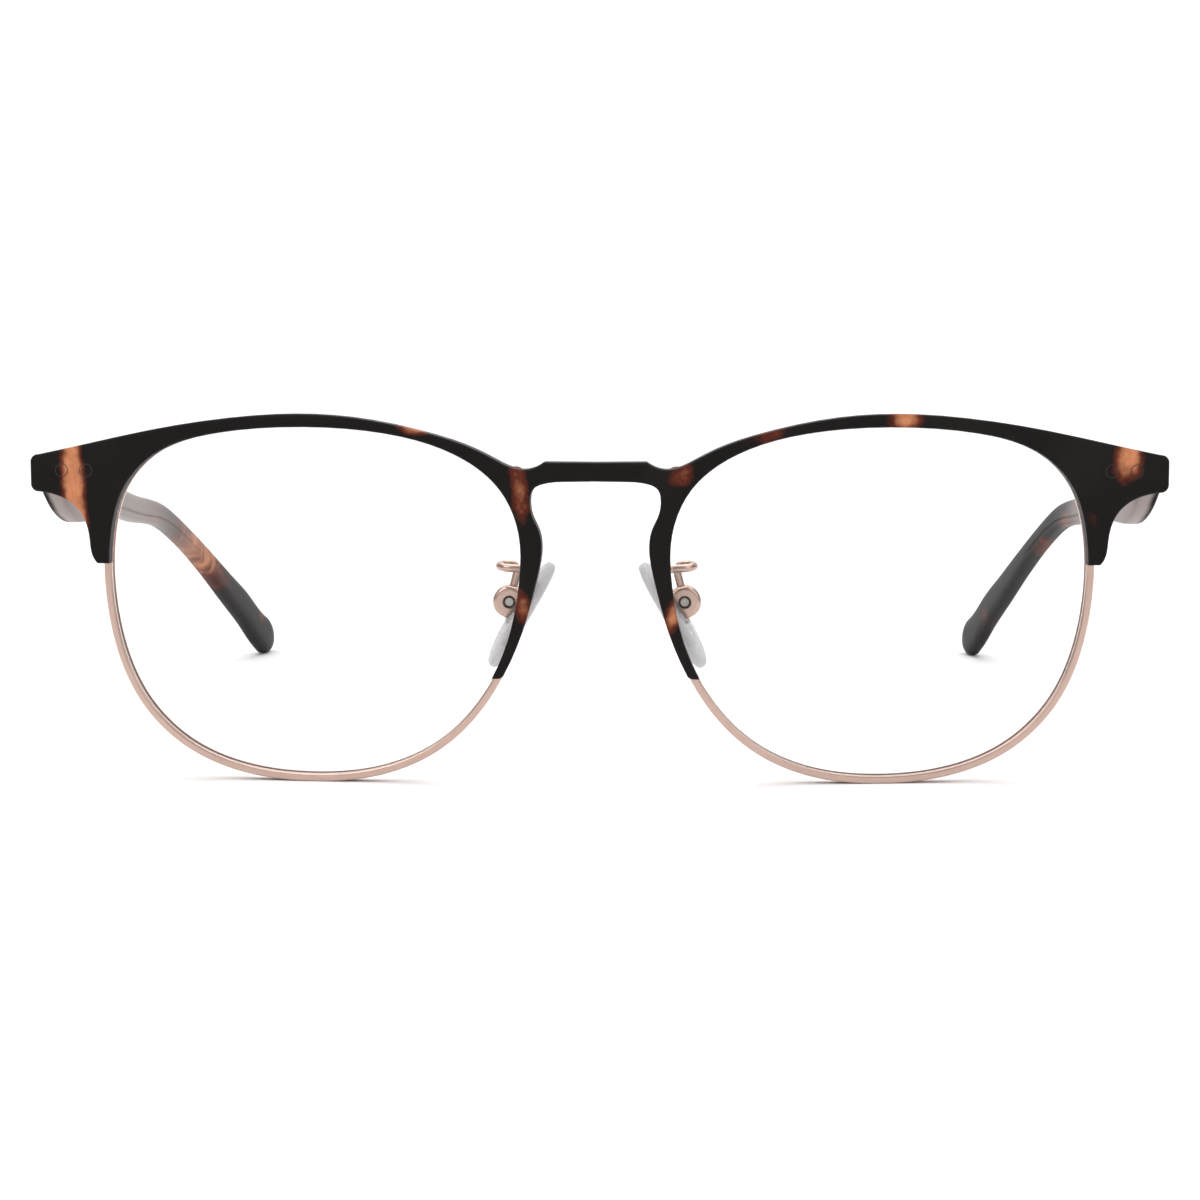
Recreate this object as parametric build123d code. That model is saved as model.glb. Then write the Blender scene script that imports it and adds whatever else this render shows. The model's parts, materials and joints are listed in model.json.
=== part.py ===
from build123d import *
import math
import os

# Browline spectacles: one acetate brow in front of two full metal rims, with
# screw-on nose pads, riveted barrel hinges and acetate temples with a metal core.
# Frame: X to the wearer's left, Y from the front towards the wearer, Z up.
# Z = 0 is the surface the spectacles stand on, under the rims and temple tips.
# Depths are worked out from the front face of the bridge, and the finished pieces
# are moved so that the origin is under the middle of the whole pair.
# The left side is modelled, and the right side is its mirror image.

# ---- driving sizes, millimetres ----
# lens and bridge
lens_width = 51.0
lens_height = 42.7
bridge_gap = 18.2            # between the two lens openings
lens_shape = (               # outline in half widths and half heights of the lens
    (1.00, 0.10), (0.965, -0.20), (0.84, -0.565), (0.61, -0.83), (0.315, -0.965),
    (0.01, -1.00), (-0.30, -0.96), (-0.585, -0.81), (-0.81, -0.53), (-0.94, -0.205),
    (-0.995, 0.14), (-0.995, 0.37), (-0.90, 0.65), (-0.68, 0.85), (-0.34, 0.967),
    (0.055, 1.00), (0.465, 0.963), (0.765, 0.845), (0.925, 0.645), (0.988, 0.40),
)
lens_thickness = 1.8
lens_tongue = 0.35           # how far the lens edge reaches into the rim groove
tongue_thickness = 1.1

# front
wrap_radius = 420.0          # face-form curve of the whole front, about a vertical axis
brow_thickness = 3.6
flange_thickness = 2.15      # brow in front of the rims
brow_edge_radius = 0.3
endpiece_length = 9.9        # lens edge to the outer end of the front
endpiece_height = 4.5
brow_rise = 1.6              # brow above the lens at its highest point
bridge_depth = 2.45          # height of the bridge bar at the middle
lobe_step = 0.02             # height of the step behind the nasal lobe, in half lens heights

# rims
rim_wall = 0.95
rim_depth = 2.2
rim_edge_radius = 0.2
groove_depth = 0.4
window_lip = 0.15            # rim opening outside the brow's window
lock_height = 3.2
lock_reach = 2.9
lock_depth = 2.6
lock_split = 0.15
tab_radius = 1.45
tab_thickness = 0.75

# screws, pins and their fits
fit = 0.03                   # radial gap round a screw, pin or knuckle
seat = 0.05                  # gap between parts that are set into each other
lock_screw_radius = 0.6
lock_head_radius = 1.0
brow_screw_radius = 0.5
brow_screw_reach = 2.7       # shank under the head, through the tab and into the brow
screw_head_radius = 0.95
screw_head_height = 0.5
screw_slot_width = 0.25
screw_slot_depth = 0.25
rivet_radius = 0.8
rivet_spacing = 3.1
rivet_proud = 0.1
rivet_round = 0.15

# nose pads
pad_length = 15.1
pad_width = 7.0
pad_thickness = 2.0
pad_tilt = 31.0              # degrees from vertical, tops together
pad_splay = 10.0             # degrees, back edges apart
pad_axis_x = 1.8             # pad screw outside the edge of the lens opening
pad_axis_z = -0.45           # pad screw from the lens centre
pad_axis_y = 8.8             # depth of the pad's middle
pad_offset = 1.95            # pad's middle plane from its screw, towards the nose
pad_shift = 0.7              # pad's middle below its screw, along the pad
pad_pocket_gap = 0.3         # room round the box for the pad to rock
box_reach = 2.05
box_open = 1.0               # nose side of the box, from the screw
box_half_height = 2.0
box_depth = 2.9
box_plate = 0.7
box_round = 0.5
box_sink_radius = 0.82       # shallow recess round the end of the pad screw
box_sink_depth = 0.35
pad_screw_radius = 0.5
insert_radius = 0.95
insert_plate = 0.5
arm_radius = 0.5
arm_loop = 3.1

# hinges
hinge_inset = 4.7            # hinge axis inside the outer face of the temple
hinge_back = 2.4             # hinge axis behind the back of the endpiece
hinge_height = 3.7
knuckles = 5
knuckle_radius = 1.25
knuckle_gap = 0.05
knuckle_room = 0.3           # temple plate behind the knuckles
hinge_screw_radius = 0.6
plate_thickness = 0.85
plate_length = 6.2
plate_inset = 2.8            # outer end of the front plate inside the end of the brow
temple_plate_length = 6.5
temple_plate_height = 2.6
temple_plate_thickness = 0.8

# temples
temple_length = 132.5        # butt to tip, along Y
temple_thickness = 2.8
temple_gap = 0.35            # temple butt behind the end of the brow
temple_inward = 5.7          # how far the tip curves in
temple_bend = 50.0           # butt to where the temple starts to curve in
tip_height = 6.8
temple_sections = (          # share of the length, centre's share of the hinge height, height
    (0.0, 1.0, 4.5), (0.028, 0.96, 6.4), (0.07, 0.922, 7.6), (0.122, 0.90, 7.0),
    (0.175, 0.883, 5.7), (0.235, 0.862, 4.5), (0.34, 0.811, 4.0), (0.48, 0.748, 3.55),
    (0.583, 0.641, 3.5), (0.68, 0.515, 4.1), (0.783, 0.365, 5.2), (0.862, 0.249, 6.2),
    (0.93, 0.13, 6.5),
)
core_height = 1.6
core_thickness = 1.0
seam_width = 0.3
seam_depth = 0.25

# ---- places worked out from the sizes ----
half_lens = lens_width / 2
half_height = lens_height / 2
lens_left = bridge_gap / 2
lens_x = lens_left + half_lens
lens_right = lens_left + lens_width
lens_bottom = rim_wall + window_lip
lens_z = lens_bottom + half_height
lens_top = lens_bottom + lens_height
half_front = lens_right + endpiece_length
endpiece_top = lens_top - 3.5
endpiece_bottom = endpiece_top - endpiece_height
endpiece_middle = (endpiece_top + endpiece_bottom) / 2
rim_front = flange_thickness + seat
rim_back = rim_front + rim_depth
rim_middle = (rim_front + rim_back) / 2
hinge_z = endpiece_middle + 0.35
hinge_x = half_front - hinge_inset


def surface_y(x, depth=0.0):
    """Depth of the wrapped front at x, measured this far behind its front face."""
    radius = wrap_radius - depth
    return wrap_radius - math.sqrt(radius ** 2 - x ** 2)


hinge_y = surface_y(hinge_x, brow_thickness) + hinge_back
butt_y = surface_y(half_front, brow_thickness) + temple_gap
overall_depth = butt_y + temple_length


# ---- shared helpers ----
REACH = 60.0                 # extrusions run this far through the front


def flat(x, z, y=0.0):
    """A point given across and up, as on a drawing of the front."""
    return Vector(x, y, z)


def through_front(wire):
    """Extrude an outline drawn in the XZ plane through the whole front."""
    face = Face(wire).moved(Location((0, -REACH / 2, 0)))
    return extrude(face, amount=REACH, dir=(0, 1, 0))


def wrapped(front, back):
    """The curved slab of the front between two depths behind its front face."""
    outer = Circle(wrap_radius - front)
    inner = Circle(wrap_radius - back)
    ring = Pos(0, wrap_radius) * (outer - inner)
    window = Pos(0, REACH / 4) * Rectangle(3 * half_front, REACH)
    return Pos(0, 0, -REACH / 2) * extrude(ring & window, amount=3 * REACH, dir=(0, 0, 1))


def lens_curve(offset=0.0):
    """The closed lens outline, moved outwards by offset."""
    points = [flat(lens_x + u * half_lens, lens_z + v * half_height) for u, v in lens_shape]
    curve = Spline(*points, periodic=True)
    if offset == 0.0:
        return Wire([curve])
    count = 2 * len(lens_shape)
    moved = []
    for i in range(count):
        point = curve.position_at(i / count)
        tangent = curve.tangent_at(i / count)
        moved.append(flat(point.X - tangent.Z * offset, point.Z + tangent.X * offset))
    return Wire([Spline(*moved, periodic=True)])


def lens_block(offset=0.0):
    """Everything behind and in front of the lens outline moved outwards by offset."""
    return through_front(lens_curve(offset))


def lens_ring(outside, inside, front, back):
    """A wrapped band that follows the lens outline."""
    return (lens_block(outside) - lens_block(inside)) & wrapped(front, back)


def round_bar(radius, start, end):
    """A straight cylinder between two points."""
    axis = end - start
    plane = Plane(origin=start, z_dir=axis)
    return plane * Cylinder(radius, axis.length, align=(Align.CENTER, Align.CENTER, Align.MIN))


def cuboid(x, y, z):
    """A box between pairs of limits along X, Y and Z."""
    size = (x[1] - x[0], y[1] - y[0], z[1] - z[0])
    middle = ((x[0] + x[1]) / 2, (y[0] + y[1]) / 2, (z[0] + z[1]) / 2)
    return Pos(*middle) * Box(*size)


def slotted_screw(head_radius, shank_radius, top, direction, length):
    """A screw whose head starts at top, with the shank running along direction."""
    along = direction.normalized()
    head_end = top + along * screw_head_height
    head = round_bar(head_radius, top, head_end)
    shank = round_bar(shank_radius, top + along * (screw_head_height / 2), head_end + along * length)
    plane = Plane(origin=top, z_dir=along)
    slot = plane * Box(3 * head_radius, screw_slot_width, 2 * screw_slot_depth)
    return head + shank - slot


# ---- brow ----
def brow_outline():
    """Half of the brow's silhouette, with the lens area still filled."""
    a = half_lens
    b = half_height
    bridge_top = lens_top - 4.2
    plateau = flat(lens_left - 2.9, bridge_top + 0.05)
    top_end = flat(half_front - 1.0, endpiece_top + 0.05)
    bottom_end = flat(half_front - 1.0, endpiece_bottom - 0.05)
    top = Spline(
        plateau,
        flat(lens_left - 0.2, bridge_top - 0.85),
        flat(lens_x - 0.84 * a, lens_top - 3.3),
        flat(lens_x - 0.55 * a, lens_top - 0.6),
        flat(lens_x - 0.18 * a, lens_top + 0.78 * brow_rise),
        flat(lens_x + 0.11 * a, lens_top + brow_rise),
        flat(lens_x + 0.40 * a, lens_top + 0.7 * brow_rise),
        flat(lens_x + 0.79 * a, lens_top - 0.4),
        flat(lens_right + 1.7, lens_top - 1.9),
        top_end,
    )
    lobe_z = lens_z + 0.21 * b
    under = Spline(
        bottom_end,
        flat(lens_right + 6.9, endpiece_bottom - 0.4),
        flat(lens_right + 4.9, endpiece_bottom - 1.3),
        flat(lens_right + 3.5, lens_z + 0.50 * b),
        flat(lens_right + 2.5, lens_z + 0.36 * b),
        flat(lens_right + 2.0, lens_z + 0.24 * b),
        flat(lens_right + 1.5, lobe_z),
    )
    tip = flat(lens_left + 2.9, lens_z - 0.43 * b)
    heel = flat(lens_left + 2.1, lens_z - 0.415 * b)
    nose = Spline(
        heel,
        flat(lens_left + 1.07, lens_z - 0.316 * b),
        flat(lens_left - 0.75, lens_z - 0.087 * b),
        flat(lens_left - 2.0, lens_z + 0.138 * b),
        flat(lens_left - 2.6, lens_z + 0.33 * b),
        flat(lens_left - 2.2, lens_z + 0.424 * b),
        flat(lens_left - 1.5, lens_z + 0.494 * b),
        flat(lens_left - 1.2, lens_z + 0.569 * b),
        flat(lens_left - 1.6, bridge_top - 0.2 - bridge_depth - 0.6),
        flat(lens_left - 2.7, bridge_top - 0.2 - bridge_depth),
        flat(lens_left - 5.4, bridge_top + 0.1 - bridge_depth),
    )
    corner_top = flat(half_front, endpiece_top - 0.8)
    corner_bottom = flat(half_front, endpiece_bottom + 0.8)
    lobe_inside = flat(lens_right - 0.4 * a, lobe_z)
    tip_inside = flat(lens_left + 0.6 * a, lens_z - 0.43 * b)
    edges = [
        Line(flat(0, bridge_top), plateau),
        top,
        ThreePointArc(top_end, flat(half_front - 0.3, endpiece_top - 0.2), corner_top),
        Line(corner_top, corner_bottom),
        ThreePointArc(corner_bottom, flat(half_front - 0.3, endpiece_bottom + 0.2), bottom_end),
        under,
        Line(flat(lens_right + 1.5, lobe_z), lobe_inside),
        Line(lobe_inside, tip_inside),
        Line(tip_inside, tip),
        ThreePointArc(tip, flat(lens_left + 2.4, lens_z - 0.43 * b + 0.1), heel),
        nose,
        Line(flat(lens_left - 5.4, bridge_top + 0.1 - bridge_depth), flat(0, bridge_top - bridge_depth + 0.15)),
        Line(flat(0, bridge_top - bridge_depth + 0.15), flat(0, bridge_top)),
    ]
    return Wire(edges)


def on_front(edge):
    """True for an edge that lies in the front face, away from the middle of the bridge."""
    points = [edge.position_at(share) for share in (0.0, 0.5, 1.0)]
    in_face = all(abs(point.Y - surface_y(point.X)) < 0.01 for point in points)
    return in_face and max(point.X for point in points) > 0.01


def half_brow():
    """Left half of the acetate brow, with its rim seat and fixing holes."""
    silhouette = through_front(brow_outline())
    flange = (silhouette - lens_block()) & wrapped(0, flange_thickness)
    rim_seat = lens_block(window_lip + rim_wall + seat)
    low = cuboid((0, lens_x), (-REACH, REACH), (-REACH, lens_z + lobe_step * half_height))
    back = (silhouette - rim_seat - low) & wrapped(flange_thickness, brow_thickness)
    body = flange + back
    front_edges = body.edges().filter_by(lambda edge: on_front(edge))
    body = fillet(front_edges, brow_edge_radius)
    for x, z in brow_screw_places():
        start = flat(x, z, surface_y(x, brow_thickness) + 1)
        end = flat(x, z, brow_screw_seat(x) - brow_screw_reach - seat)
        body -= round_bar(brow_screw_radius + fit, start, end)
    for x, z in rivet_places():
        start = flat(x, z, surface_y(x) - 2)
        end = flat(x, z, surface_y(x, brow_thickness) + 2)
        body -= round_bar(rivet_radius + fit / 3, start, end)
    return body


def brow_front():
    """The whole brow."""
    half = half_brow()
    return half + mirror(half, about=Plane.YZ)


# ---- rims, lenses and their screws ----
def brow_screw_places():
    """Where the two small screws fix a rim to the brow."""
    reach = window_lip + rim_wall + tab_radius * 0.75
    places = []
    for u, v, nx, nz in ((-0.90, 0.65, -0.83, 0.56), (0.86, 0.75, 0.75, 0.66)):
        places.append((lens_x + u * half_lens + reach * nx, lens_z + v * half_height + reach * nz))
    return places


def rim_lock_place():
    """Where the rim is split and screwed shut."""
    return lens_right + 0.2, lens_z + 0.50 * half_height


def rim():
    """One metal rim: grooved ring, closing block, and tabs for the brow screws."""
    outside = window_lip + rim_wall
    ring = lens_ring(outside, window_lip, rim_front, rim_back)
    ring = fillet([edge for edge in ring.edges() if edge.length > lens_width], rim_edge_radius)
    groove_half = tongue_thickness / 2 + seat
    groove = lens_ring(window_lip + groove_depth, 0, rim_middle - groove_half, rim_middle + groove_half)
    body = ring - groove
    tab_slab = wrapped(brow_thickness + seat, brow_thickness + seat + tab_thickness)
    for x, z in brow_screw_places():
        body += (tab_disc(x, z) - lens_block(window_lip + rim_wall / 2)) & tab_slab
        head_y = brow_screw_seat(x)
        body -= round_bar(brow_screw_radius + fit, flat(x, z), flat(x, z, REACH))
        body -= round_bar(screw_head_radius + fit, flat(x, z, head_y), flat(x, z, REACH))
    x, z = rim_lock_place()
    block = cuboid((x, x + lock_reach), (0, REACH), (z - lock_height / 2, z + lock_height / 2))
    block = block & wrapped(brow_thickness + seat, brow_thickness + seat + lock_depth)
    body += block - lens_block(window_lip)
    body -= cuboid((x - 3, x + lock_reach + 2), (0, REACH), (z - lock_split / 2, z + lock_split / 2))
    bore_x, bore_y = lock_bore()
    body -= round_bar(lock_screw_radius + fit, flat(bore_x, z - lock_height, bore_y),
                      flat(bore_x, z + lock_height, bore_y))
    return body


def tab_disc(x, z):
    """A round tab with a neck towards the lens, seen from the front."""
    to_lens = flat(lens_x - x, lens_z - z).normalized()
    disc = round_bar(tab_radius, flat(x, z, -REACH / 2), flat(x, z, REACH / 2))
    middle = flat(x, z) + to_lens * tab_radius
    neck = Plane(origin=middle, z_dir=to_lens, x_dir=(0, 1, 0)) * Box(REACH, 1.6 * tab_radius, 2 * tab_radius)
    return disc + neck


def lock_bore():
    """Axis of the rim's closing screw, across and in depth."""
    x, z = rim_lock_place()
    bore_x = x + 0.6 * lock_reach
    return bore_x, surface_y(bore_x, brow_thickness + seat + lock_depth / 2)


def rim_lock_screw():
    """The upright screw that closes the rim."""
    x, z = rim_lock_place()
    bore_x, bore_y = lock_bore()
    top = flat(bore_x, z + lock_height / 2 + screw_head_height, bore_y)
    return slotted_screw(lock_head_radius, lock_screw_radius, top, Vector(0, 0, -1), lock_height)


def brow_screw_seat(x):
    """Depth of the flat spot that a brow screw's head sits on."""
    return surface_y(x, brow_thickness + seat + tab_thickness) - 0.2


def brow_screw(place):
    """A small screw from behind, through a rim tab into the brow."""
    x, z = place
    top = flat(x, z, brow_screw_seat(x) + screw_head_height)
    return slotted_screw(screw_head_radius, brow_screw_radius, top, Vector(0, -1, 0), brow_screw_reach)


def lens():
    """A clear lens with the tongue that sits in the rim groove."""
    front = rim_middle - lens_thickness / 2
    back = rim_middle + lens_thickness / 2
    body = lens_block(window_lip - seat) & wrapped(front, back)
    tongue = lens_block(window_lip + lens_tongue)
    return body + (tongue & wrapped(rim_middle - tongue_thickness / 2, rim_middle + tongue_thickness / 2))


# ---- nose pads ----
def pad_axis():
    """Middle of the pad screw."""
    return flat(lens_left + pad_axis_x, lens_z + pad_axis_z, pad_axis_y)


def pad_plane():
    """Plane on the pad screw: x towards the lens, y into the depth, z up along the pad."""
    tilt = math.radians(pad_tilt)
    across = Vector(math.cos(tilt), 0, math.sin(tilt))
    return Plane(origin=pad_axis(), x_dir=across, z_dir=Vector(-math.sin(tilt), 0, math.cos(tilt)))


def pad_box():
    """The rounded cup that holds the pad's tab, open towards the nose, with the screw's end in a shallow recess."""
    shoulder = 0.25
    high = box_half_height
    section = Wire([
        Line((-box_open, 0, high), (shoulder, 0, high)),
        ThreePointArc((shoulder, 0, high), (box_reach, 0, 0), (shoulder, 0, -high)),
        Line((shoulder, 0, -high), (-box_open, 0, -high)),
        Line((-box_open, 0, -high), (-box_open, 0, high)),
    ])
    body = extrude(Face(section).moved(Location((0, -box_depth / 2, 0))), amount=box_depth, dir=(0, 1, 0))
    body = fillet(body.edges(), box_round)
    gap = box_depth / 2 - box_plate
    slot = cuboid((-box_open - 1, insert_radius + 0.25), (-gap, gap), (-insert_radius - 0.3, insert_radius + 0.3))
    bore = round_bar(pad_screw_radius + fit, flat(0, 0, -box_depth), flat(0, 0, box_depth))
    sink = round_bar(box_sink_radius, flat(0, 0, -box_depth), flat(0, 0, box_sink_depth - box_depth / 2))
    return pad_plane() * (body - slot - bore - sink)


def pad_insert():
    """The stiff plate inside the pad with the tab that the screw goes through."""
    plane = pad_plane()
    gap = box_depth / 2 - box_plate - 2 * seat
    eye = round_bar(insert_radius, flat(0, 0, -gap), flat(0, 0, gap))
    stem = cuboid((-pad_offset, 0), (-gap, gap), (-insert_radius, insert_radius))
    bore = round_bar(pad_screw_radius + fit, flat(0, 0, -box_depth), flat(0, 0, box_depth))
    tab = plane * (eye + stem - bore)
    leaf = Box(insert_plate, 0.5 * pad_width, 0.6 * pad_length)
    return tab + pad_middle() * leaf


def pad_middle():
    """Plane through the middle of the pad, turned by its splay."""
    plane = pad_plane()
    middle = plane.from_local_coords(Vector(-pad_offset, 0, -pad_shift))
    tilted = Plane(origin=middle, x_dir=plane.x_dir, z_dir=plane.z_dir)
    return tilted.rotated((0, 0, -pad_splay))


def nose_pad():
    """The soft pad: a rounded drop shape round the insert, with a pocket for the box and its screw."""
    half_y = pad_width / 2
    half_z = pad_length / 2
    outline = Wire([Spline(
        Vector(0, 0.97 * half_y, 0.1 * half_z), Vector(0, 0.74 * half_y, 0.78 * half_z), Vector(0, 0, half_z),
        Vector(0, -0.74 * half_y, 0.78 * half_z), Vector(0, -0.97 * half_y, 0.1 * half_z),
        Vector(0, -0.86 * half_y, -0.68 * half_z), Vector(0, 0, -half_z),
        Vector(0, 0.86 * half_y, -0.68 * half_z), periodic=True)])
    slab = extrude(Face(outline).moved(Location((-pad_thickness / 2, 0, 0))), amount=pad_thickness, dir=(1, 0, 0))
    slab = fillet(slab.edges(), 0.38 * pad_thickness)
    head_end = box_depth / 2 + screw_head_height
    room = cuboid((-box_open - pad_pocket_gap, box_reach), (-box_depth / 2 - seat, head_end + 2 * seat),
                  (-box_half_height - pad_pocket_gap, box_half_height + pad_pocket_gap))
    pad = pad_middle() * slab
    return pad - pad_plane() * room - pad_insert()


def pad_screw():
    """The small screw through the pad box, with its head towards the wearer."""
    top = pad_axis() + Vector(0, box_depth / 2 + screw_head_height, 0)
    length = box_depth - 0.2
    return slotted_screw(1.5 * pad_screw_radius, pad_screw_radius, top, Vector(0, -1, 0), length)


def pad_arm():
    """Wire from the back of the rim, round a hairpin loop and down to the pad box."""
    axis = pad_axis()
    root = flat(lens_left - 0.55, lens_z + 3.85, rim_back - 0.25)
    loop_x = axis.X + 1.1
    loop_z = axis.Z + 4.7
    front_y = rim_back + 1.15
    path = FilletPolyline(
        root,
        flat(lens_left - 0.35, loop_z - 0.4, front_y),
        flat(loop_x, loop_z - 0.25, front_y),
        flat(loop_x, loop_z, front_y + arm_loop),
        flat(axis.X - 1.2, loop_z, front_y + arm_loop),
        flat(axis.X - 0.4, axis.Z + 0.8 * box_half_height, axis.Y),
        radius=[0.8, 1.45, 1.45, 0.9],
    )
    plane = Plane(origin=path.position_at(0), z_dir=path.tangent_at(0))
    wire = sweep(plane * Circle(arm_radius), path=path)
    ring = lens_ring(window_lip + rim_wall, window_lip, rim_front, rim_back)
    return wire - pad_box() - ring


# ---- hinges ----
def rivet_places():
    """The two hinge rivets of one endpiece."""
    outer = half_front - plate_inset - 1.25
    return ((outer - rivet_spacing, hinge_z), (outer, hinge_z))


def knuckle_span(index):
    """Lower and upper end of one hinge knuckle."""
    pitch = hinge_height / knuckles
    low = hinge_z - hinge_height / 2 + index * pitch
    return low + knuckle_gap / 2, low + pitch - knuckle_gap / 2


def knuckle(index, web):
    """One barrel knuckle with its web, bored for the hinge screw."""
    low, high = knuckle_span(index)
    barrel = round_bar(knuckle_radius, flat(hinge_x, low, hinge_y), flat(hinge_x, high, hinge_y))
    web_x, web_y = web
    body = barrel + cuboid(web_x, web_y, (low, high))
    return body - round_bar(hinge_screw_radius + fit, flat(hinge_x, low - 1, hinge_y), flat(hinge_x, high + 1, hinge_y))


def hinge_front():
    """Plate riveted behind the endpiece, with the outer knuckles."""
    end = half_front - plate_inset
    low = hinge_z - hinge_height / 2
    plate = cuboid((end - plate_length, end), (0, REACH), (low, low + hinge_height))
    body = plate & wrapped(brow_thickness, brow_thickness + plate_thickness)
    plate_y = surface_y(hinge_x, brow_thickness) + 0.4 * plate_thickness
    web = ((hinge_x - 0.9, hinge_x + 0.9), (plate_y, hinge_y))
    for index in range(0, knuckles, 2):
        body += knuckle(index, web)
    rivet_hole = wrapped(0, brow_thickness + plate_thickness + seat)
    for x, z in rivet_places():
        body -= round_bar(rivet_radius + fit / 3, flat(x, z), flat(x, z, REACH)) & rivet_hole
    return body


def hinge_temple():
    """Plate let into the temple, with the inner knuckles."""
    inner = half_front - temple_thickness
    start = hinge_y + knuckle_radius + knuckle_room
    low = hinge_z - temple_plate_height / 2 - 0.4
    plate = cuboid((inner - 0.4, inner - 0.4 + temple_plate_thickness), (start, start + temple_plate_length),
                   (low, low + temple_plate_height))
    web = ((hinge_x, inner - 0.4 + temple_plate_thickness), (hinge_y, start + 0.8))
    body = plate
    for index in range(1, knuckles, 2):
        body += knuckle(index, web)
    return body


def hinge_screw():
    """Upright screw through all the knuckles."""
    top = flat(hinge_x, hinge_z + hinge_height / 2 + screw_head_height, hinge_y)
    return slotted_screw(0.85 * knuckle_radius, hinge_screw_radius, top, Vector(0, 0, -1), hinge_height)


def rivet(place):
    """A pin through the brow and the hinge plate, with a slightly proud, rounded end in front."""
    x, z = place
    pin = round_bar(rivet_radius, flat(x, z, -REACH / 4), flat(x, z, REACH))
    pin = pin & wrapped(-rivet_proud, brow_thickness + plate_thickness)
    return fillet(pin.edges().sort_by(Axis.Y)[0], rivet_round)


# ---- temples ----
def temple_point(share, height):
    """A point of the temple's side view."""
    return Vector(0, butt_y + share * temple_length, height)


def temple_line(rise):
    """Heights along the temple, at rise times its height above its centre line."""
    return [temple_point(share, centre * endpiece_middle + rise * height)
            for share, centre, height in temple_sections]


def temple_profile():
    """Side view of a temple as a closed wire in the YZ plane."""
    upper = temple_line(0.5)
    lower = temple_line(-0.5)
    tip = [temple_point(0.975, 0.85 * tip_height), temple_point(1.0, 0.42 * tip_height),
           temple_point(0.985, 0.08 * tip_height), temple_point(0.96, 0)]
    return Wire([Spline(*upper, *tip, *reversed(lower)), Line(lower[0], upper[0])])


def sideways(wire):
    """Extrude a side view across the whole half of the spectacles."""
    return extrude(Face(wire), amount=2 * half_front, dir=(1, 0, 0))


def temple_side(y):
    """Outer face of the temple, across, at this depth."""
    past = max(0.0, y - butt_y - temple_bend) / (temple_length - temple_bend)
    return half_front - temple_inward * past ** 1.5


def temple_plan(inner, outer):
    """Band seen from above between two distances inside the outer face."""
    steps = 9
    start = butt_y - 1
    ys = [start + (temple_length + 2) * i / (steps - 1) for i in range(steps)]
    outer_edge = Spline(*[Vector(temple_side(y) - outer, y, 0) for y in ys])
    inner_edge = Spline(*[Vector(temple_side(y) - inner, y, 0) for y in ys])
    face = Face(Wire([outer_edge, Line(outer_edge @ 1, inner_edge @ 1), inner_edge,
                      Line(inner_edge @ 0, outer_edge @ 0)]))
    return extrude(face.moved(Location((0, 0, -REACH / 2))), amount=3 * REACH, dir=(0, 0, 1))


def temple_strip(rise, height, first, last):
    """A strip of even height along the temple, from one section to another."""
    line = temple_line(rise)[first:last]
    high = [point + Vector(0, 0, height / 2) for point in line]
    low = [point - Vector(0, 0, height / 2) for point in line]
    return sideways(Wire([Spline(*high), Line(high[-1], low[-1]), Spline(*low), Line(low[0], high[0])]))


def temple_core():
    """Metal core strip inside the temple."""
    middle = temple_thickness / 2
    plan = temple_plan(middle + core_thickness / 2, middle - core_thickness / 2)
    return temple_strip(0, core_height, 1, -2) & plan


def temple():
    """One acetate temple, with its core, seam line and hinge recess."""
    body = sideways(temple_profile()) & temple_plan(temple_thickness, 0)
    body = body.moved(Location((0, 0, -body.bounding_box().min.Z)))
    seam = temple_strip(-0.2, seam_width, 4, -4)
    body -= seam & temple_plan(temple_thickness + 1, temple_thickness - seam_depth)
    inner = half_front - temple_thickness
    plate_end = half_front - plate_inset + temple_gap
    plate_back = surface_y(half_front - plate_inset, brow_thickness + plate_thickness) + temple_gap
    body -= cuboid((inner - 1, plate_end), (0, plate_back), (0, REACH))
    return body - temple_core() - hinge_temple()


def export_piece(shape, name):
    """Write one piece, moved so that the origin is under the middle of the spectacles."""
    export_step(shape.moved(Location((0, -overall_depth / 2, 0))), "parts/" + name + ".step")


def export_pair(shape, name):
    """Write a left piece and its mirror image."""
    export_piece(shape, name + "_left")
    export_piece(mirror(shape, about=Plane.YZ), name + "_right")


def main():
    os.makedirs("parts", exist_ok=True)
    export_piece(brow_front(), "brow_front")
    export_pair(rim(), "rim")
    export_pair(lens(), "lens")
    export_pair(rim_lock_screw(), "rim_lock_screw")
    for place, name in zip(brow_screw_places(), ("inner", "outer")):
        export_pair(brow_screw(place), "brow_screw_" + name)
    for place, name in zip(rivet_places(), ("inner", "outer")):
        export_pair(rivet(place), "hinge_rivet_" + name)
    export_pair(pad_arm(), "pad_arm")
    export_pair(pad_box(), "pad_box")
    export_pair(pad_insert(), "pad_insert")
    export_pair(nose_pad(), "nose_pad")
    export_pair(pad_screw(), "pad_screw")
    export_pair(hinge_front(), "hinge_front")
    export_pair(hinge_temple(), "hinge_temple")
    export_pair(hinge_screw(), "hinge_screw")
    export_pair(temple_core(), "temple_core")
    export_pair(temple(), "temple")


main()
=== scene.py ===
"""Browline spectacles: a matte tortoise brow over rose-gold rims, with silicone nose pads and polished temples.

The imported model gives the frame, the hinges and every place. The temples and nose pads are worked out here as
surfaces of two parameters, and every piece gets a finish made of nodes. Lengths are in metres.
"""

import json
import math

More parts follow.
